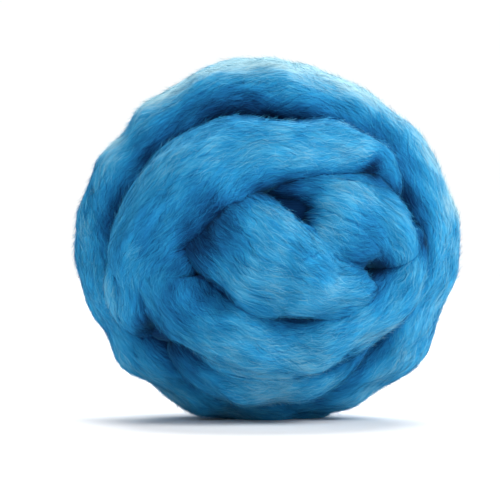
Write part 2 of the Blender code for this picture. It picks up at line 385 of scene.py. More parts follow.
@dataclass(frozen=True)
class RingFaces:
    """The faces of a closed surface that is made of rings: four-sided ones, then a cap at each end."""

    rings: int
    around: int
    flipped: bool = False

    def corners(self) -> tuple[np.ndarray, np.ndarray]:
        """Number the corners of the four-sided faces.

        Returns:
            Ring numbers and point numbers, where a point's number may be the one past the last.
        """
        ring, point = np.meshgrid(np.arange(self.rings - 1), np.arange(self.around), indexing="ij")
        rings = np.stack([ring, ring, ring + 1, ring + 1], axis=-1).reshape(-1, 4)
        points = np.stack([point, point + 1, point + 1, point], axis=-1).reshape(-1, 4)
        return (rings[:, ::-1], points[:, ::-1]) if self.flipped else (rings, points)

    def polygons(self) -> list[np.ndarray]:
        """List the faces.

        Returns:
            The vertex numbers of the four-sided faces, then those of both caps.
        """
        rings, points = self.corners()
        first = np.arange(self.around)[None, ::-1]
        caps = np.concatenate([first, first[:, ::-1] + (self.rings - 1) * self.around])
        return [rings * self.around + points % self.around, caps[:, ::-1] if self.flipped else caps]


def search_tree(surfaces: list[tuple[np.ndarray, RingFaces]]) -> BVHTree:
    """Gather closed surfaces in one search tree.

    Args:
        surfaces: Each surface's points, one row for each, and its faces.

    Returns:
        The tree.
    """
    polygons: list[list[int]] = []
    start = 0
    for points, faces in surfaces:
        for group in faces.polygons():
            polygons.extend((group + start).tolist())
        start += len(points)
    return BVHTree.FromPolygons(np.vstack([points for points, _ in surfaces]).tolist(), polygons)


def mesh_from_arrays(name: str, points: np.ndarray, faces: list[np.ndarray]) -> Mesh:
    """Make a smooth mesh from arrays.

    Args:
        name: The mesh's name.
        points: One row for each vertex.
        faces: Arrays of vertex numbers, one array for each count of corners.

    Returns:
        The mesh.
    """
    mesh = bpy.data.meshes.new(name)
    corners = np.concatenate([group.ravel() for group in faces]).astype(np.int32)
    sizes = np.concatenate([np.full(len(group), group.shape[1]) for group in faces])
    starts = np.concatenate([[0], np.cumsum(sizes)[:-1]]).astype(np.int32)
    mesh.vertices.add(len(points))
    mesh.vertices.foreach_set("co", points.astype(np.float32).ravel())
    mesh.loops.add(len(corners))
    mesh.loops.foreach_set("vertex_index", corners)
    mesh.polygons.add(len(sizes))
    mesh.polygons.foreach_set("loop_start", starts)
    mesh.update(calc_edges=True)
    mesh.shade_smooth()
    return mesh


def add_map(mesh: Mesh, name: str, spots: np.ndarray) -> None:
    """Add a UV map to a mesh, with one (u, v) row for each corner of each face."""
    layer = mesh.uv_layers.new(name=name)
    layer.uv.foreach_set("vector", spots.astype(np.float32).ravel())


def new_object(name: str, data: ID) -> Object:
    """Put a new object in the scene.

    Args:
        name: Its name.
        data: Its mesh, lamp or camera.

    Returns:
        The object.
    """
    thing = bpy.data.objects.new(name, data)
    bpy.context.scene.collection.objects.link(thing)
    return thing


def add_object(mesh: Mesh, wool: Material) -> Object:
    """Put a mesh in the scene as a piece of the ball.

    Args:
        mesh: The mesh, whose name the piece takes.
        wool: Its material.

    Returns:
        The object, which rides on the ball's body.
    """
    piece = new_object(mesh.name, mesh)
    mesh.materials.append(wool)
    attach(piece, BODY)
    return piece


def add_surface(
    mesh: Mesh, faces: RingFaces, strand: np.ndarray, tones: np.ndarray, wool: Material
) -> Object:
    """Dress a closed surface and put it in the scene in the solid's place.

    Args:
        mesh: The surface's mesh.
        faces: Its faces.
        strand: Places along and across the strand, one row for each corner of its four-sided faces.
        tones: The tone at each vertex: the dye, with painted shade and painted light.
        wool: Its material.

    Returns:
        The object.
    """
    rings, around = faces.corners()
    even = np.stack([rings.ravel() / (faces.rings - 1), around.ravel() / faces.around], axis=1)
    cap = np.zeros((2 * faces.around, 2))
    add_map(mesh, "Strand", np.vstack([strand, cap]))
    add_map(mesh, "OFBake", np.vstack([inset(even), cap]))
    # The tone attribute carries painted shade and painted light as well as the dye.
    tone = mesh.attributes.new("tone", "FLOAT", "POINT")
    tone.data.foreach_set("value", tones.astype(np.float32).ravel())
    piece = add_object(mesh, wool)
    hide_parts(NODE)
    return piece


@dataclass
class RovingTurn:
    """One turn of the strand: a closed, rounded sweep that follows the ball and tapers where it dives."""

    name: str
    places: tuple[Place, ...]
    seed: int
    station_step: float = 0.0023
    least_stations: int = 8
    curve_steps: int = 24
    outline_points: int = 121
    around: int = 44
    underside: float = 0.012
    underside_share: float = 0.45
    end_length: float = 0.011
    end_share: float = 0.03
    narrow_relief: float = 0.3
    lumps: SoftNoise = SoftNoise(0.026, 11)
    lump_height: float = 0.0009
    ridge_height: float = 0.00045
    ridge_widths: tuple[float, ...] = (0.0068, 0.0095, 0.0150)
    ridge_drift: float = 0.22
    ridge_warp: float = 0.0030
    warp_length: float = 0.045
    ridge_share: float = 0.7
    ridge_swell: float = 0.5
    swell_length: float = 0.030
    # The tone, with its painted shade and painted light.
    dye: DyeAndPaintedLight = DyeAndPaintedLight()
    grid: StrandGrid = field(init=False)

    def centre_line(self) -> tuple[np.ndarray, np.ndarray, np.ndarray, float]:
        """Follow a smooth curve through the turn's places.

        Returns:
            Evenly spaced directions, their widths and sinks in metres, and the step between them.
        """
        turn = np.radians([place.turn for place in self.places])
        out = np.radians([place.out for place in self.places])
        sizes = np.array([(place.width, place.sink) for place in self.places]) * MM
        rows = np.hstack([aim_of(turn, out), sizes])
        rows = np.vstack([rows[:1], rows, rows[-1:]])
        share = np.linspace(0, 1, self.curve_steps, endpoint=False)[:, None]
        pieces = []
        for before, first, second, after in zip(rows, rows[1:], rows[2:], rows[3:]):
            pieces.append(
                first
                + (second - before) * (share / 2)
                + (before * 2 - first * 5 + second * 4 - after) * (share**2 / 2)
                + (first * 3 - before - second * 3 + after) * (share**3 / 2)
            )
        curve = np.vstack([*pieces, rows[-1:]])
        curve[:, :3] = unit(curve[:, :3])
        run = np.linalg.norm(np.diff(ball_point(curve[:, :3], np.zeros(len(curve))), axis=0), axis=1)
        travelled = np.concatenate([[0], np.cumsum(run)])
        count = max(self.least_stations, round(travelled[-1] / self.station_step)) + 1
        wanted = np.linspace(0, travelled[-1], count)
        even = np.stack([np.interp(wanted, travelled, column) for column in curve.T], axis=1)
        return unit(even[:, :3]), even[:, 3], even[:, 4], travelled[-1] / (count - 1)

    def outline(self, width: float, sink: float, taper: float) -> tuple[np.ndarray, np.ndarray, float]:
        """Work out one section, with its points evenly spaced round the crown.

        Args:
            width: The strand's width, in metres.
            sink: The crown's depth under the ball's outer surface.
            taper: How far the section is open, 1 along the strand and near 0 at its ends.

        Returns:
            Places across and heights, in metres, and the spacing of the crown's points.
        """
        angle = np.linspace(-math.pi / 2, 3 * math.pi / 2, self.outline_points)
        side, up = np.cos(angle), np.sin(angle)
        rise = CROWN_RISE * min(1, math.sqrt(width / USUAL_WIDTH))
        crown = (1 - np.minimum(1, np.abs(side)) ** CROWN_POWER) ** (1 / CROWN_POWER)
        height = np.where(up >= 0, rise * (crown - 1), -rise - self.underside * np.abs(up)) - sink
        middle = -sink - (rise + self.underside) / 2
        across = side * (width / 2) * taper
        height = middle + (height - middle) * taper
        run = np.hypot(np.diff(across), np.diff(height))
        run = np.where(up[1:] + up[:-1] < 0, run * self.underside_share, run)
        travelled = np.concatenate([[0], np.cumsum(run)])
        spacing = travelled[-1] / self.around
        wanted = np.arange(self.around) * travelled[-1] / self.around
        return np.interp(wanted, travelled, across), np.interp(wanted, travelled, height), spacing

    def shape(self) -> None:
        """Sweep the section along the turn and give its surface lumps and ridges."""
        aims, widths, sinks, step = self.centre_line()
        across = unit(np.cross(unit(np.gradient(aims, axis=0)), aims))
        distance = np.arange(len(aims)) * step
        share = np.clip(np.minimum(distance, distance[::-1]) / self.end_length, 0, 1)
        taper = np.sqrt(1 - (1 - share) ** 2) * (1 - self.end_share) + self.end_share
        sections = [self.outline(*row) for row in zip(widths, sinks, taper)]
        offsets, heights, spacing = (np.array(values) for values in zip(*sections))
        swing = (offsets / MEAN_RADIUS)[..., None]
        directions = aims[:, None] * np.cos(swing) + across[:, None] * np.sin(swing)
        points = ball_point(directions, heights)
        wide = np.clip(widths / USUAL_WIDTH, self.narrow_relief, 1)[:, None] * taper[:, None]
        lumps = self.lumps.at(points) * self.lump_height
        relief = (lumps + self.ridges(points, offsets, distance)) * wide
        points = points + self.normals_of(points) * relief[..., None]
        points[..., 2] = np.maximum(points[..., 2], 0)
        self.grid = StrandGrid(points, self.normals_of(points), step, spacing, np.ones(points.shape[:2]))

    def ridges(self, points: np.ndarray, offsets: np.ndarray, distance: np.ndarray) -> np.ndarray:
        """Work out the low ridges that run along a combed strand and drift across it.

        Args:
            points: The surface's points.
            offsets: How far each point lies across the strand.
            distance: How far each station lies along it.

        Returns:
            Heights in metres.
        """
        draw = np.random.default_rng(self.seed)
        warp = SoftNoise(self.warp_length, self.seed + 5).at(points) * self.ridge_warp
        total = np.zeros(offsets.shape)
        for width in self.ridge_widths:
            drift = draw.uniform(-self.ridge_drift, self.ridge_drift)
            phase = (offsets + warp + drift * distance[:, None]) * (2 * math.pi / width)
            total += np.sin(phase + draw.uniform(0, 2 * math.pi)) * (width / self.ridge_widths[-1])
        swell = self.ridge_swell * SoftNoise(self.swell_length, self.seed + 9).at(points)
        return total * (self.ridge_share + swell) * self.ridge_height

    def raise_by(self, lifts: np.ndarray) -> None:
        """Move the surface outward.

        Args:
            lifts: How far each point goes, in metres.
        """
        points = self.grid.points
        points = points + aims_to(points) * HALF_SIZE * (lifts / MEAN_RADIUS)[..., None]
        points[..., 2] = np.maximum(points[..., 2], 0)
        self.grid.points, self.grid.normals = points, self.normals_of(points)

    def normals_of(self, points: np.ndarray) -> np.ndarray:
        """Work out the outward normals of a grid.

        Args:
            points: The grid's points.

        Returns:
            A normal for each point.
        """
        around = np.roll(points, -1, axis=1) - np.roll(points, 1, axis=1)
        normals = unit(np.cross(around, np.gradient(points, axis=0)))
        outward = (normals * (points - points.mean(axis=1, keepdims=True))).sum()
        return normals if outward > 0 else -normals

    def surface(self) -> tuple[np.ndarray, RingFaces]:
        """Give the turn's surface.

        Returns:
            Its points, one row for each, and its faces, turned outward.
        """
        points = self.grid.points.reshape(-1, 3)
        faces = RingFaces(len(self.grid.points), self.around)
        quads = faces.polygons()[0]
        a, b, c = (points[quads[:, corner]] for corner in (0, 1, 2))
        facing = (np.cross(b - a, c - a) * self.grid.normals.reshape(-1, 3)[quads[:, 0]]).sum()
        return points, RingFaces(faces.rings, faces.around, bool(facing < 0))

    def build(self, wool: Material) -> Object:
        """Make the turn's surface as a piece.

        Args:
            wool: Its material.

        Returns:
            The object.
        """
        points, faces = self.surface()
        rows, columns = (corners.ravel() for corners in faces.corners())
        offsets = (np.arange(self.around) - self.around / 2) * self.grid.spacing[:, None]
        offsets = np.hstack([offsets, -offsets[:, :1]])
        strand = np.stack([rows * self.grid.step + self.seed * 0.37, offsets[rows, columns]], axis=1)
        mesh = mesh_from_arrays(f"roving_{self.name}", points, faces.polygons())
        return add_surface(mesh, faces, strand, self.dye.of(self.grid), wool)


@dataclass
class WoundMiddle:
    """The wound middle under the turns, which shows only at the bottom of the deepest creases, where its dark
    tone is painted shade.
    """

    name: str = "roving_wound_middle"
    rings: int = 60
    sides: int = 96
    lumps: SoftNoise = SoftNoise(0.020, 21)
    lump_height: float = 0.0012
    # Painted shade: the middle's low tone darkens the bottom of the deepest creases.
    tone: float = 0.06
    strand_size: tuple[float, float] = (0.43, 0.21)

    def surface(self) -> tuple[np.ndarray, RingFaces]:
        """Work out the middle's surface, from the lowest ring to the highest.

        Returns:
            Its points, one row for each, and its faces.
        """
        height = np.linspace(-math.pi / 2, math.pi / 2, self.rings + 2)[1:-1, None]
        turn = np.linspace(0, 2 * math.pi, self.sides, endpoint=False)[None]
        flat = np.cos(height)
        directions = np.stack([flat * np.cos(turn), flat * np.sin(turn), np.sin(height) + 0 * turn], axis=-1)
        points = ball_point(directions, np.full(directions.shape[:2], (MIDDLE_SHARE - 1) * MEAN_RADIUS))
        lumps = self.lumps.at(points) * self.lump_height
        return (points + directions * lumps[..., None]).reshape(-1, 3), RingFaces(self.rings, self.sides)

    def build(self, wool: Material) -> Object:
        """Make the middle as a piece.

        Args:
            wool: Its material.

        Returns:
            The object.
        """
        points, faces = self.surface()
        rings, around = (corners.ravel() for corners in faces.corners())
        strand = np.stack([around / self.sides, rings / self.rings], axis=1) * self.strand_size
        mesh = mesh_from_arrays(self.name, points, faces.polygons())
        return add_surface(mesh, faces, strand, np.full(len(points), self.tone), wool)


@dataclass
class SoftCreases:
    """The soft creases between turns that are felted together, filled a little so that they blend."""

    turns: dict[str, RovingTurn]
    pairs: tuple[SoftPair, ...] = SOFT_PAIRS
    start_height: float = 0.03
    hidden_share: float = 0.10

    def apply(self) -> None:
        """Fill the creases of every pair."""
        names = {name for pair in self.pairs for name in (pair.first, pair.second)}
        trees = {name: search_tree([self.turns[name].surface()]) for name in sorted(names)}
        lifts = {name: np.zeros(self.turns[name].grid.points.shape[:2]) for name in names}
        for pair in self.pairs:
            for name, other in ((pair.first, pair.second), (pair.second, pair.first)):
                lift = self.lifts(self.turns[name], trees[other], pair.reach)
                lifts[name] = np.maximum(lifts[name], lift)
        for name, lift in lifts.items():
            self.turns[name].raise_by(lift)

    def lifts(self, turn: RovingTurn, other: BVHTree, reach: float) -> np.ndarray:
        """Work out how far a turn's points rise where it meets another turn.

        Args:
            turn: The turn.
            other: The other turn's surface.
            reach: The depth over which the two blend.

        Returns:
            A lift in metres for each point, most where the two surfaces cross.
        """
        outward = aims_to(turn.grid.points) * HALF_SIZE
        starts = CENTRE + outward * (1 + self.start_height / MEAN_RADIUS)
        height = heights_of(turn.grid.points)
        result = np.zeros(height.shape)
        hidden = round(turn.around * self.hidden_share)
        for row in range(result.shape[0]):
            for column in range(hidden, turn.around - hidden):
                hit = other.ray_cast(Vector(starts[row, column]), Vector(-outward[row, column]))[0]
                if hit is not None:
                    gap = abs(height[row, column] - float(heights_of(np.array(hit))))
                    result[row, column] = max(0.0, reach - gap) ** 2 / (4 * reach)
        return result


@dataclass
class Daylight:
    """How open each place of the wool is to the air: 1 on a free crown, near 0 deep in a crease.

    `tilts` has the rays' tilts from the surface's normal, in degrees, and how many there are at each.
    """

    surfaces: list[RovingTurn | WoundMiddle]
    reach: float = 0.036
    lift: float = 0.0004
    hidden_share: float = 0.12
    tilts: tuple[tuple[float, int], ...] = ((0, 1), (34, 5), (62, 6))
    rays: list[tuple[float, float, float]] = field(default_factory=list)

    def __post_init__(self) -> None:
        """Work out the rays' parts along the normal, the strand and the direction across it."""
        for ring, (tilt, count) in enumerate(self.tilts):
            up, flat = math.cos(math.radians(tilt)), math.sin(math.radians(tilt))
            for index in range(count):
                turn = 2 * math.pi * (index + 0.5 * (ring == 2)) / count
                self.rays.append((up, flat * math.cos(turn), flat * math.sin(turn)))

    def measure(self) -> None:
        """Measure each turn's openness and keep it in its grid."""
        tree = search_tree([owner.surface() for owner in self.surfaces])
        for turn in self.surfaces:
            if isinstance(turn, RovingTurn):
                turn.grid.openness = self.openness(tree, turn)
                LOG.info("openness of %s: mean %.2f", turn.name, float(turn.grid.openness.mean()))

    def openness(self, tree: BVHTree, turn: RovingTurn) -> np.ndarray:
        """Measure one turn's openness.

        Args:
            tree: The search tree of all surfaces.
            turn: The turn.

        Returns:
            The openness of each point of its grid.
        """
        grid = turn.grid
        along = unit(np.gradient(grid.points, axis=0))
        axes = np.stack([grid.normals, along, np.cross(grid.normals, along)], axis=2)
        starts = grid.points + grid.normals * self.lift
        outward = aims_to(starts)
        result = np.zeros(grid.points.shape[:2])
        hidden = round(turn.around * self.hidden_share)
        for row in range(result.shape[0]):
            for column in range(hidden, turn.around - hidden + 1):
                start, aim = Vector(starts[row, column]), Vector(outward[row, column])
                normal = tree.ray_cast(start, aim)[1]
                if normal is None or normal.dot(aim) <= 0:
                    result[row, column] = self.share_open(tree, start, axes[row, column])
        sides = (np.roll(result, 1, axis=1) + np.roll(result, -1, axis=1)) / 2
        ends = (np.vstack([result[:1], result[:-1]]) + np.vstack([result[1:], result[-1:]])) / 2
        return np.where(result > 0, result * 0.5 + sides * 0.25 + ends * 0.25, 0)

    def share_open(self, tree: BVHTree, start: Vector, axes: np.ndarray) -> float:
        """Cast the rays from one place.

        Args:
            tree: The search tree of all surfaces.
            start: The place, just over the surface.
            axes: The surface's normal, the strand's direction and the direction across it.

        Returns:
            The open share of the rays, weighted towards those along the normal.
        """
        total = 0.0
        for up, first, second in self.rays:
            aim = Vector(axes[0] * up + axes[1] * first + axes[2] * second)
            distance = tree.ray_cast(start, aim, self.reach)[3]
            total += up if distance is None else up * (distance / self.reach) ** 2
        return total / sum(ray[0] for ray in self.rays)


@dataclass(frozen=True)
class FibreKind:
    """One kind of fibre: how many, how long and thick, and how it lies on the strand.

    Each pair is the least and the most in metres, `stray` and `roll` are in degrees, and `tone` and
    `painted_tip_light` are added to the surface's tone; `painted_tip_light` is painted light that grows
    towards the tip, as light shines through the fuzz. A high `openness_power` keeps the fibres to the open
    crowns.
    """

    lay: Lay
    count: int
    length: tuple[float, float]
    width: tuple[float, float]
    base: tuple[float, float]
    lift: tuple[float, float]
    stray: float
    wave: tuple[float, float]
    stations: int
    tone: float
    tone_spread: float
    painted_tip_light: float
    roll: float
    openness_power: float
    sheen: float


@dataclass
class FibreLayer:
    """The fibres of one kind on one turn, as tapered ribbons in one mesh."""

    turn: RovingTurn
    kind: FibreKind
    seed: int
    count: int
    length_shares: tuple[float, float] = (0.75, 1.0)
    drift: float = 13.0
    swirls: tuple[tuple[SoftNoise, float], ...] = ((SoftNoise(0.034, 31), 0.7), (SoftNoise(0.013, 32), 0.45))
    wave_lengths: tuple[float, float] = (0.007, 0.014)
    curl: float = 0.16
    curl_middle: float = 0.3
    fuzz_power: float = 1.5
    peak_spread: float = 0.25
    end_dip: float = 0.6
    tone_range: tuple[float, float] = (0.01, 0.99)
    change_limits: tuple[float, float] = (-0.26, 0.12)
    change_share: float = 1.15
    pale_loss: float = 0.65
    pale_tones: tuple[float, float] = (0.62, 0.86)
    least_chance: float = 0.02
    least_spacing: float = 0.0004
    palette_width: float = 0.004
    floor_gap: float = 0.0002

    def paths(self) -> tuple[np.ndarray, np.ndarray, np.ndarray, np.ndarray]:
        """Lay each fibre on the turn's surface.

        Returns:
            The fibres' points, the surface's normals there, the half widths and the tones.
        """
        kind, grid, count = self.kind, self.turn.grid, self.count
        draw = np.random.default_rng(self.seed)
        wanted = self.least_chance + grid.openness**kind.openness_power
        chance = ((grid.openness > LEAST_OPEN) * grid.spacing[:, None] * wanted).ravel()
        cell = draw.choice(chance.size, size=count, p=chance / chance.sum())
        row = cell // grid.points.shape[1] + draw.uniform(-0.5, 0.5, count)
        column = cell % grid.points.shape[1] + draw.uniform(-0.5, 0.5, count)
        length = draw.uniform(*kind.length, count) * draw.uniform(*self.length_shares, count)
        aim = self.drifts(grid.read(grid.points, row, column), draw)
        share = np.linspace(-0.5, 0.5, kind.stations)[None]
        reach = share * length[:, None]
        wave_length = draw.uniform(*self.wave_lengths, count)[:, None]
        wave = draw.uniform(*kind.wave, count)[:, None]
        start = draw.uniform(0, 2 * math.pi, count)[:, None]
        wave = wave * np.sin(2 * math.pi * reach / wave_length + start)
        bend = (share * 2) ** 2 - self.curl_middle
        curl = draw.normal(0, self.curl, count)[:, None] * length[:, None] * bend
        sideways = reach * np.sin(aim)[:, None] + wave + curl
        spacing = grid.spacing[np.clip(np.round(row).astype(int), 0, len(grid.spacing) - 1)]
        rows = row[:, None] + reach * np.cos(aim)[:, None] / grid.step
        columns = column[:, None] + sideways / np.maximum(spacing, self.least_spacing)[:, None]
        normals = unit(grid.read(grid.normals, rows, columns))
        points = grid.read(grid.points, rows, columns) + normals * self.heights(draw, share)[..., None]
        points[..., 2] = np.maximum(points[..., 2], 2 * self.floor_gap)
        thickness = draw.uniform(*kind.width, count)[:, None] / 2
        thickness = thickness * np.sqrt(np.clip(1 - (share * 2) ** 2, 0, 1))
        change = np.clip(draw.normal(0, kind.tone_spread, count), *self.change_limits)
        # Each fibre takes the surface's tone there, painted shade and painted light included.
        tone = grid.read(self.turn.dye.of(grid), row, column) + kind.tone
        tone += change * (self.change_share - self.pale_loss * ease(tone, *self.pale_tones))
        return points, normals, thickness, np.clip(tone, *self.tone_range)

    def drifts(self, roots: np.ndarray, draw: np.random.Generator) -> np.ndarray:
        """Work out how far each fibre turns from the strand's direction.

        Args:
            roots: The fibres' middle points.
            draw: The fibres' random numbers.

        Returns:
            One angle in radians for each fibre.
        """
        swirl = sum(noise.at(roots) * self.drift * share for noise, share in self.swirls)
        return np.radians(swirl + draw.normal(0, self.kind.stray, self.count))

    def heights(self, draw: np.random.Generator, share: np.ndarray) -> np.ndarray:
        """Work out how high each fibre's stations lie over the surface.

        Args:
            draw: The fibres' random numbers.
            share: Places along the fibre, from -0.5 to 0.5.

        Returns:
            Heights in metres, one row for each fibre.
        """
        base = draw.uniform(*self.kind.base, self.count)[:, None]
        lift = draw.uniform(*self.kind.lift, self.count)[:, None]
        if self.kind.lay is Lay.FUZZ:
            return base + lift * (share + 0.5) ** self.fuzz_power
        peak = draw.uniform(-self.peak_spread, self.peak_spread, self.count)[:, None]
        return base + lift * np.clip(1 - ((share - peak) * 2) ** 2, -self.end_dip, 1)

    def build(self, wool: Material) -> Object:
        """Make the fibres as one piece: each a ribbon with a point at both ends.

        Args:
            wool: Their material.

        Returns:
            The object.
        """
        points, normals, thickness, tone = self.paths()
        count, stations = points.shape[:2]
        draw = np.random.default_rng(self.seed + 1)
        tangent = unit(np.gradient(points, axis=1))
        side = unit(np.cross(tangent, normals))
        roll = np.radians(draw.uniform(-self.kind.roll, self.kind.roll, count))[:, None, None]
        reach = (side * np.cos(roll) + np.cross(tangent, side) * np.sin(roll)) * thickness[..., None]
        inner = slice(1, stations - 1)
        pairs = np.stack([points[:, inner] + reach[:, inner], points[:, inner] - reach[:, inner]], axis=2)
        ribbons = [points[:, :1], pairs.reshape(count, -1, 3), points[:, -1:]]
        vertices = np.concatenate(ribbons, axis=1).reshape(-1, 3)
        vertices[:, 2] = np.maximum(vertices[:, 2], self.floor_gap)
        each = 2 * (stations - 2) + 2
        starts = (np.arange(count) * each)[:, None, None]
        tips = np.array([[0, 1, 2], [each - 2, each - 3, each - 1]])
        left = 1 + 2 * np.arange(stations - 3)
        quads = np.stack([left, left + 2, left + 3, left + 1], axis=1)
        faces = [(starts + quads).reshape(-1, 4), (starts + tips).reshape(-1, 3)]
        mesh = mesh_from_arrays(f"roving_{self.turn.name}_{self.kind.lay.value}_fibres", vertices, faces)
        doubled = np.repeat(normals[:, inner], 2, axis=1)
        soft = np.concatenate([normals[:, :1], doubled, normals[:, -1:]], axis=1)
        mesh.normals_split_custom_set_from_vertices(soft.reshape(-1, 3).tolist())
        steps = np.concatenate([[0], np.repeat(np.arange(1, stations - 1), 2), [stations - 1]])
        steps = steps / (stations - 1)
        sides = np.concatenate([[0], np.tile([1, -1], stations - 2), [0]]) * self.palette_width / 2
        # Painted light: the tone rises towards each fibre's tip, as light shines through the fuzz.
        across = np.clip(tone[:, None] + steps * self.kind.painted_tip_light, *self.tone_range) + sides
        spots = np.stack([across, np.broadcast_to(inset(steps), across.shape)], axis=-1).reshape(-1, 2)
        add_map(mesh, "OFBake", spots[np.concatenate([group.ravel() for group in faces])])
        return add_object(mesh, wool)


def add_node(tree: NodeTree, kind: str, inputs: dict[str | int, object], **settings: object) -> Node:
    """Add a shader node.

    Args:
        tree: The tree that it goes in.
        kind: Its type, without the word ShaderNode.
        inputs: Its inputs by name or number, each a value or a socket that feeds it.
        settings: Its other properties.

    Returns:
        The node.
    """
    node = tree.nodes.new(f"ShaderNode{kind}")
    for name, value in settings.items():
        setattr(node, name, value)
    for name, value in inputs.items():
        if isinstance(value, NodeSocket):
            tree.links.new(value, node.inputs[name])
        else:
            node.inputs[name].default_value = value
    return node


def maths(tree: NodeTree, operation: str, *values: float | NodeSocket) -> NodeSocket:
    """Add a Math node, whose inputs are numbers or sockets, and give its output."""
    return add_node(tree, "Math", dict(enumerate(values)), operation=operation).outputs[0]


class DyeGroups:
    """The shader node groups that every wool material shares, each built once."""

    DYE_STOPS: ClassVar[tuple[tuple[float, tuple[float, float, float]], ...]] = (
        (0.0, (0.0003, 0.006, 0.028)),
        (0.25, (0.0040, 0.058, 0.195)),
        (0.50, (0.0140, 0.205, 0.482)),
        (0.75, (0.0250, 0.385, 0.650)),
        (1.0, (0.5100, 0.715, 0.745)),
    )
    WARP_SCALE: ClassVar[float] = 45.0
    WARP_WIDTH: ClassVar[float] = 0.012

    def __init__(self) -> None:
        """Build both groups."""
        self.dye = self.make_dye()
        self.streaks = self.make_streaks()

    def new_group(self, name: str, inputs: dict[str, float | None], outputs: dict[str, str]) -> NodeTree:
        """Start a node group.

        Args:
            name: The group's name.
            inputs: Names of number inputs and their values, or None for a vector input.
            outputs: Names of outputs and the last word of their socket types.

        Returns:
            The group with its input and output nodes in place.
        """
        group = bpy.data.node_groups.new(name, "ShaderNodeTree")
        for label, value in inputs.items():
            kind = "NodeSocketVector" if value is None else "NodeSocketFloat"
            socket = group.interface.new_socket(label, in_out="INPUT", socket_type=kind)
            if value is not None:
                socket.default_value = value
        for label, kind in outputs.items():
            group.interface.new_socket(label, in_out="OUTPUT", socket_type=f"NodeSocket{kind}")
        group.nodes.new("NodeGroupInput").name = "in"
        group.nodes.new("NodeGroupOutput").name = "out"
        return group

    def make_dye(self) -> NodeTree:
        """Build the dye.

        Returns:
            A group with a tone from 0 to 1 in, and the wool's colour from navy to pale blue out.
        """
        group = self.new_group("wool_dye", {"Tone": 0.5}, {"Color": "Color"})
        ramp = add_node(group, "ValToRGB", {"Fac": group.nodes["in"].outputs["Tone"]})
        ramp.color_ramp.interpolation = "B_SPLINE"
        elements = ramp.color_ramp.elements
        while len(elements) < len(self.DYE_STOPS):
            elements.new(0.5)
        for element, (place, colour) in zip(elements, self.DYE_STOPS):
            element.position = place
            element.color = (*colour, 1)
        group.links.new(ramp.outputs["Color"], group.nodes["out"].inputs["Color"])
        return group

    def make_streaks(self) -> NodeTree:
        """Build the combed streaks.

        Returns:
            A group with a place on the strand in, and a tone's change and a height out.
        """
        inputs = {"Strand": None, "Fine": 900.0, "Long": 90.0, "Strength": 1.0}
        group = self.new_group("combed_streaks", inputs, {"Tone": "Float", "Height": "Float"})
        source, result = group.nodes["in"].outputs, group.nodes["out"].inputs
        inputs = {"Vector": source["Strand"], "Scale": self.WARP_SCALE, "Detail": 2}
        warp = add_node(group, "TexNoise", inputs).outputs["Fac"]
        drift = maths(group, "MULTIPLY_ADD", warp, self.WARP_WIDTH, -self.WARP_WIDTH / 2)
        split = add_node(group, "SeparateXYZ", {0: source["Strand"]}).outputs
        along = maths(group, "MULTIPLY", split["X"], source["Long"])
        across = maths(group, "ADD", split["Y"], drift)
        scaled = {"X": along, "Y": maths(group, "MULTIPLY", across, source["Fine"])}
        spot = add_node(group, "CombineXYZ", scaled).outputs[0]
        inputs = {"Vector": spot, "Scale": 1, "Detail": 3, "Roughness": 0.6}
        streak = add_node(group, "TexNoise", inputs).outputs["Fac"]
        centred = maths(group, "SUBTRACT", streak, 0.5)
        group.links.new(maths(group, "MULTIPLY", centred, source["Strength"]), result["Tone"])
        group.links.new(streak, result["Height"])
        return group


@dataclass(frozen=True)
class WoolFinish:
    """A wool material: matt, coloured by a tone that holds the dye with painted shade and painted light, and
    with the sheen of long fibres.
    """

    name: str
    fibres: bool = False
    streak: float = 0.50
    bump: float = 0.0004
    roughness: float = 0.92
    specular: float = 0.08
    sheen: float = 0.35
    sheen_roughness: float = 0.45
    sheen_tint: tuple[float, float, float] = (0.10, 0.60, 1.0)

    def make(self, groups: DyeGroups) -> Material:
        """Build the material.

        Args:
            groups: The node groups that it shares with the others.

        Returns:
            The material.
        """
        material = bpy.data.materials.new(self.name)
        material.use_nodes = True
        tree = material.node_tree
        shader = tree.nodes["Principled BSDF"].inputs
        looks = {
            "Roughness": self.roughness, "Specular IOR Level": self.specular, "Sheen Weight": self.sheen,
            "Sheen Roughness": self.sheen_roughness, "Sheen Tint": (*self.sheen_tint, 1),
        }
        for label, value in looks.items():
            shader[label].default_value = value
        if self.fibres:
            palette = add_node(tree, "UVMap", {}, uv_map="OFBake").outputs[0]
            tone = add_node(tree, "SeparateXYZ", {0: palette}).outputs["X"]
        else:
            strand = add_node(tree, "UVMap", {}, uv_map="Strand").outputs[0]
            inputs = {"Strand": strand, "Strength": self.streak}
            streaks = add_node(tree, "Group", inputs, node_tree=groups.streaks).outputs
            relief = add_node(tree, "Bump", {"Distance": self.bump, "Height": streaks["Height"]})
            tree.links.new(relief.outputs[0], shader["Normal"])
            # The tone attribute, with painted shade and painted light in it.
            shaded_tone = add_node(tree, "Attribute", {}, attribute_name="tone").outputs["Fac"]
            tone = maths(tree, "ADD", shaded_tone, streaks["Tone"])
        dye = add_node(tree, "Group", {"Tone": tone}, node_tree=groups.dye)
        tree.links.new(dye.outputs["Color"], shader["Base Color"])
        return material


@dataclass(frozen=True)
class SoftLamp:
    """A very large, far studio lamp, whose light is soft and even over the floor."""

    name: str
    aim_from: tuple[float, float, float]
    softness: float
    strength: float

    def build(self, target: Vector) -> None:
        """Make the lamp.

        Args:
            target: Where it shines.
        """
        data = bpy.data.lights.new(self.name, "SUN")
        data.angle = math.radians(self.softness)
        data.energy = self.strength
        lamp = new_object(self.name, data)
        lamp.location = target + Vector(self.aim_from)
        lamp.rotation_euler = Vector(self.aim_from).to_track_quat("Z", "Y").to_euler()


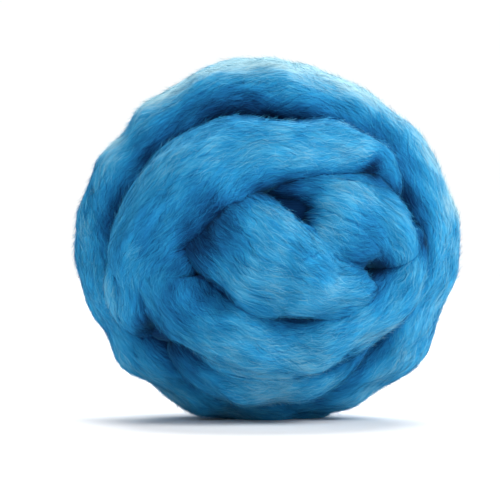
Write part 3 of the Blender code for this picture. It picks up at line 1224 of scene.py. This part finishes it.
@dataclass
class Studio:
    """A pale floor, soft lamps and a camera straight in front of the ball."""

    camera_distance: float = 1.2
    frame_width: float = 0.22
    sensor: float = 36.0
    target: Vector = field(default_factory=lambda: Vector((-0.0075, 0, 0.0743)))
    floor_size: float = 12.0
    floor_colour: tuple[float, float, float] = (0.92, 0.92, 0.92)
    floor_roughness: float = 0.9
    world_light: float = 0.14
    seen_white: float = 1.02
    lamps: tuple[SoftLamp, ...] = (
        SoftLamp("key_lamp", (0.90, -0.70, 1.00), 35, 2.5),
        SoftLamp("side_lamp", (1.00, -0.30, 0.15), 50, 0.8),
        SoftLamp("back_lamp", (0.05, 0.70, 1.00), 50, 4.2),
        SoftLamp("left_lamp", (-0.80, -0.40, 0.90), 60, 0.7),
        SoftLamp("front_lamp", (0.40, -1.00, 0.05), 60, 0.6),
    )

    def build(self) -> None:
        """Set up the whole studio."""
        self.add_floor()
        for lamp in self.lamps:
            lamp.build(self.target)
        self.add_world()
        self.add_camera()

    def add_floor(self) -> None:
        """Lay the pale floor, which isn't part of the ball."""
        half = self.floor_size / 2
        points = np.array([[-half, -half, 0], [half, -half, 0], [half, half, 0], [-half, half, 0]])
        mesh = mesh_from_arrays("floor", points, [np.array([[0, 1, 2, 3]])])
        material = bpy.data.materials.new("pale_floor")
        material.use_nodes = True
        shader = material.node_tree.nodes["Principled BSDF"]
        shader.inputs["Base Color"].default_value = (*self.floor_colour, 1)
        shader.inputs["Roughness"].default_value = self.floor_roughness
        mesh.materials.append(material)
        new_object("floor", mesh)

    def add_world(self) -> None:
        """Make the air a plain white, brighter where the camera sees it than as a light."""
        world = bpy.data.worlds.new("studio_air")
        world.use_nodes = True
        background = world.node_tree.nodes["Background"].inputs
        background["Color"].default_value = (1, 1, 1, 1)
        seen = add_node(world.node_tree, "LightPath", {}).outputs["Is Camera Ray"]
        extra = self.seen_white - self.world_light
        strength = maths(world.node_tree, "MULTIPLY_ADD", seen, extra, self.world_light)
        world.node_tree.links.new(strength, background["Strength"])
        bpy.context.scene.world = world

    def add_camera(self) -> None:
        """Add the camera, level with the ball's middle."""
        data = bpy.data.cameras.new("camera")
        data.sensor_width = self.sensor
        data.lens = self.sensor * self.camera_distance / self.frame_width
        camera = new_object("camera", data)
        camera.location = self.target + Vector((0, -self.camera_distance, 0))
        camera.rotation_euler = (math.pi / 2, 0, 0)
        bpy.context.scene.camera = camera
        bpy.context.scene.view_settings.view_transform = "Standard"


@dataclass
class WoolBall:
    """The whole ball: its turns, its wound middle and its fibres."""

    groups: DyeGroups = field(default_factory=DyeGroups)
    quick_share: float = 0.2
    surface: WoolFinish = WoolFinish("combed_wool")
    deep: WoolFinish = WoolFinish("wound_wool", streak=0.2)
    kinds: tuple[FibreKind, ...] = (
        FibreKind(
            Lay.COMBED, 48000, length=(0.006, 0.014), width=(0.00010, 0.00024), base=(-0.0001, 0.0002),
            lift=(0.0, 0.0004), stray=7.0, wave=(0.0, 0.0003), stations=6, tone=0.01, tone_spread=0.13,
            painted_tip_light=0.0, roll=50, openness_power=0.3, sheen=0.25,
        ),
        FibreKind(
            Lay.LOOSE, 18000, length=(0.005, 0.013), width=(0.00006, 0.00014), base=(0.0, 0.0002),
            lift=(0.0002, 0.0009), stray=15.0, wave=(0.0002, 0.0006), stations=6, tone=0.0, tone_spread=0.11,
            painted_tip_light=0.03, roll=80, openness_power=0.8, sheen=0.3,
        ),
        FibreKind(
            Lay.FUZZ, 64000, length=(0.003, 0.008), width=(0.00004, 0.00009), base=(-0.0001, 0.0002),
            lift=(0.0004, 0.0028), stray=40.0, wave=(0.0001, 0.0006), stations=4, tone=0.02, tone_spread=0.05,
            painted_tip_light=0.12, roll=90, openness_power=3.0, sheen=0.1,
        ),
    )

    def turns(self) -> list[RovingTurn]:
        """Shape the turns.

        Returns:
            The turns, each with its finished surface.
        """
        turns = [RovingTurn(name, rows, index) for index, (name, rows) in enumerate(TURNS.items())]
        for turn in turns:
            turn.shape()
        SoftCreases({turn.name: turn for turn in turns}).apply()
        return turns

    def build(self) -> list[Object]:
        """Build the whole ball.

        Returns:
            Every piece of it.
        """
        turns, middle = self.turns(), WoundMiddle()
        Daylight([*turns, middle]).measure()
        surface, deep = self.surface.make(self.groups), self.deep.make(self.groups)
        pieces = [turn.build(surface) for turn in turns] + [middle.build(deep)]
        finishes = [WoolFinish(f"{kind.lay.value}_fibre", True, sheen=kind.sheen) for kind in self.kinds]
        kinds = list(zip(self.kinds, [finish.make(self.groups) for finish in finishes]))
        grids = [turn.grid for turn in turns]
        areas = [(grid.openness > LEAST_OPEN).sum() * grid.step * grid.spacing.mean() for grid in grids]
        for turn, share in zip(turns, np.array(areas) / np.sum(areas)):
            for index, (kind, wool) in enumerate(kinds):
                count = round(kind.count * share * (1))
                pieces.append(FibreLayer(turn, kind, 1000 * (index + 1) + turn.seed, count).build(wool))
        return pieces


def main() -> None:
    """Build the ball and its studio, and report each piece."""
    logging.basicConfig(level=logging.INFO, format="%(message)s")
    for piece in WoolBall().build():
        piece.data.calc_loop_triangles()
        LOG.info("%s: %d triangles", piece.name, len(piece.data.loop_triangles))
    Studio().build()


if __name__ == "__main__":
    main()
